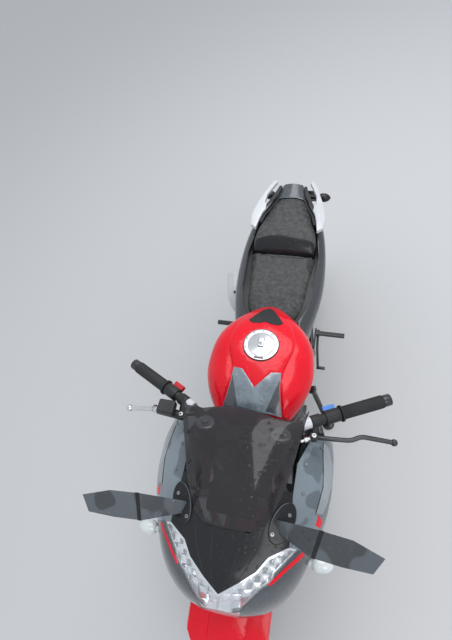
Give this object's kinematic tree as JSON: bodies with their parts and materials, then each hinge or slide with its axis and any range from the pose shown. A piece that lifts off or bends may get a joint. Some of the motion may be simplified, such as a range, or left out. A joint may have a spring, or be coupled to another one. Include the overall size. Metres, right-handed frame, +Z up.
{
  "type": "sport bike",
  "caption": "Faired two-seat road motorcycle leaning on its side stand, with turning wheels, steering, folding stand and hinged fuel cap.",
  "frame": {"origin": "on the ground under the middle of the parked bike's bounding box", "axes": "+X towards the front wheel, +Y to the rider's left, +Z up; the bike leans 11 degrees to +Y on its side stand"},
  "size_m": [1.9762, 0.7886, 1.0727],
  "materials": {
    "red_paint": "gloss red lacquer",
    "grey_paint": "blue-grey metallic lacquer",
    "black_plastic": "fine grained black plastic",
    "dark_gloss": "dark slate gloss plastic",
    "smoke_screen": "dark smoke acrylic",
    "clear_lens": "clear moulded lens",
    "red_lens": "red moulded lens",
    "frame_black": "satin black paint",
    "engine_metal": "satin dark grey engine paint",
    "aluminium": "satin aluminium",
    "rail_silver": "silver white paint",
    "steel": "ground steel",
    "chrome": "polished",
    "tyre": "road tyre rubber",
    "rubber": "black rubber",
    "seat_vinyl": "grained charcoal seat vinyl"
  },
  "bodies": {
    "chassis": {"frame": "frame_black", "subframe": "frame_black", "swingarm": "frame_black", "rear_axle": "steel", "rear_shock": "steel", "engine": "engine_metal", "radiator": "frame_black", "exhaust_pipe": "steel", "silencer": "aluminium", "fuel_tank": "red_paint", "tank_cover": "grey_paint", "fuel_cap_ring": "aluminium", "rider_seat": "seat_vinyl", "pillion_seat": "seat_vinyl", "tail_covers": "dark_gloss", "tail_top": "dark_gloss", "tail_light": "red_lens", "grab_rails": "rail_silver", "rear_mudguard": "black_plastic", "indicators": "clear_lens", "nose_cowl": "red_paint", "beak": "black_plastic", "headlight": "clear_lens", "lamp_bowl": "chrome", "cheeks": "dark_gloss", "side_cowls": "grey_paint", "fairings": "grey_paint", "belly_pan": "black_plastic", "windscreen": "smoke_screen", "dash": "black_plastic", "mirrors": "dark_gloss", "footrests": "frame_black", "chain": "steel", "chain_guard": "black_plastic", "rear_caliper": "engine_metal"},
    "steering": {"fork_tubes": "chrome", "fork_sliders": "aluminium", "fork_clamps": "frame_black", "handlebars": "frame_black", "grips": "rubber", "switchgear": "black_plastic", "brake_lever": "chrome", "clutch_lever": "frame_black", "front_mudguard": "red_paint", "front_axle": "steel", "front_caliper": "engine_metal", "brake_hose": "rubber"},
    "front_wheel": {"front_tyre": "tyre", "front_rim": "frame_black", "front_disc": "steel"},
    "rear_wheel": {"rear_tyre": "tyre", "rear_rim": "frame_black", "rear_disc": "steel", "rear_sprocket": "steel"},
    "side_stand": {"side_stand": "frame_black"},
    "fuel_cap": {"fuel_cap": "aluminium"}
  },
  "joints": [
    {"name": "steering_turn", "type": "hinge", "parent": "chassis", "child": "steering", "pos_m": [0.65994, -0.10292, 0.27298], "axis": [-0.4224, 0.1729, 0.8897], "range_deg": [-28, 28]},
    {"name": "front_wheel_spin", "type": "hinge", "parent": "steering", "child": "front_wheel", "pos_m": [0.69414, -0.09987, 0.28863], "axis": [0, 0.9816, -0.1908], "continuous": true},
    {"name": "rear_wheel_spin", "type": "hinge", "parent": "chassis", "child": "rear_wheel", "pos_m": [-0.67286, -0.09587, 0.30952], "axis": [0, 0.9816, -0.1908], "continuous": true},
    {"name": "side_stand_fold", "type": "hinge", "parent": "chassis", "child": "side_stand", "pos_m": [-0.06437, 0.06054, 0.25454], "axis": [-0.0028, 0.9874, 0.1579], "range_deg": [0, 94]},
    {"name": "fuel_cap_lid", "type": "hinge", "parent": "chassis", "child": "fuel_cap", "pos_m": [0.14257, 0.02343, 0.92307], "axis": [0, 0.9816, -0.1908], "range_deg": [0, 100]}
  ]
}
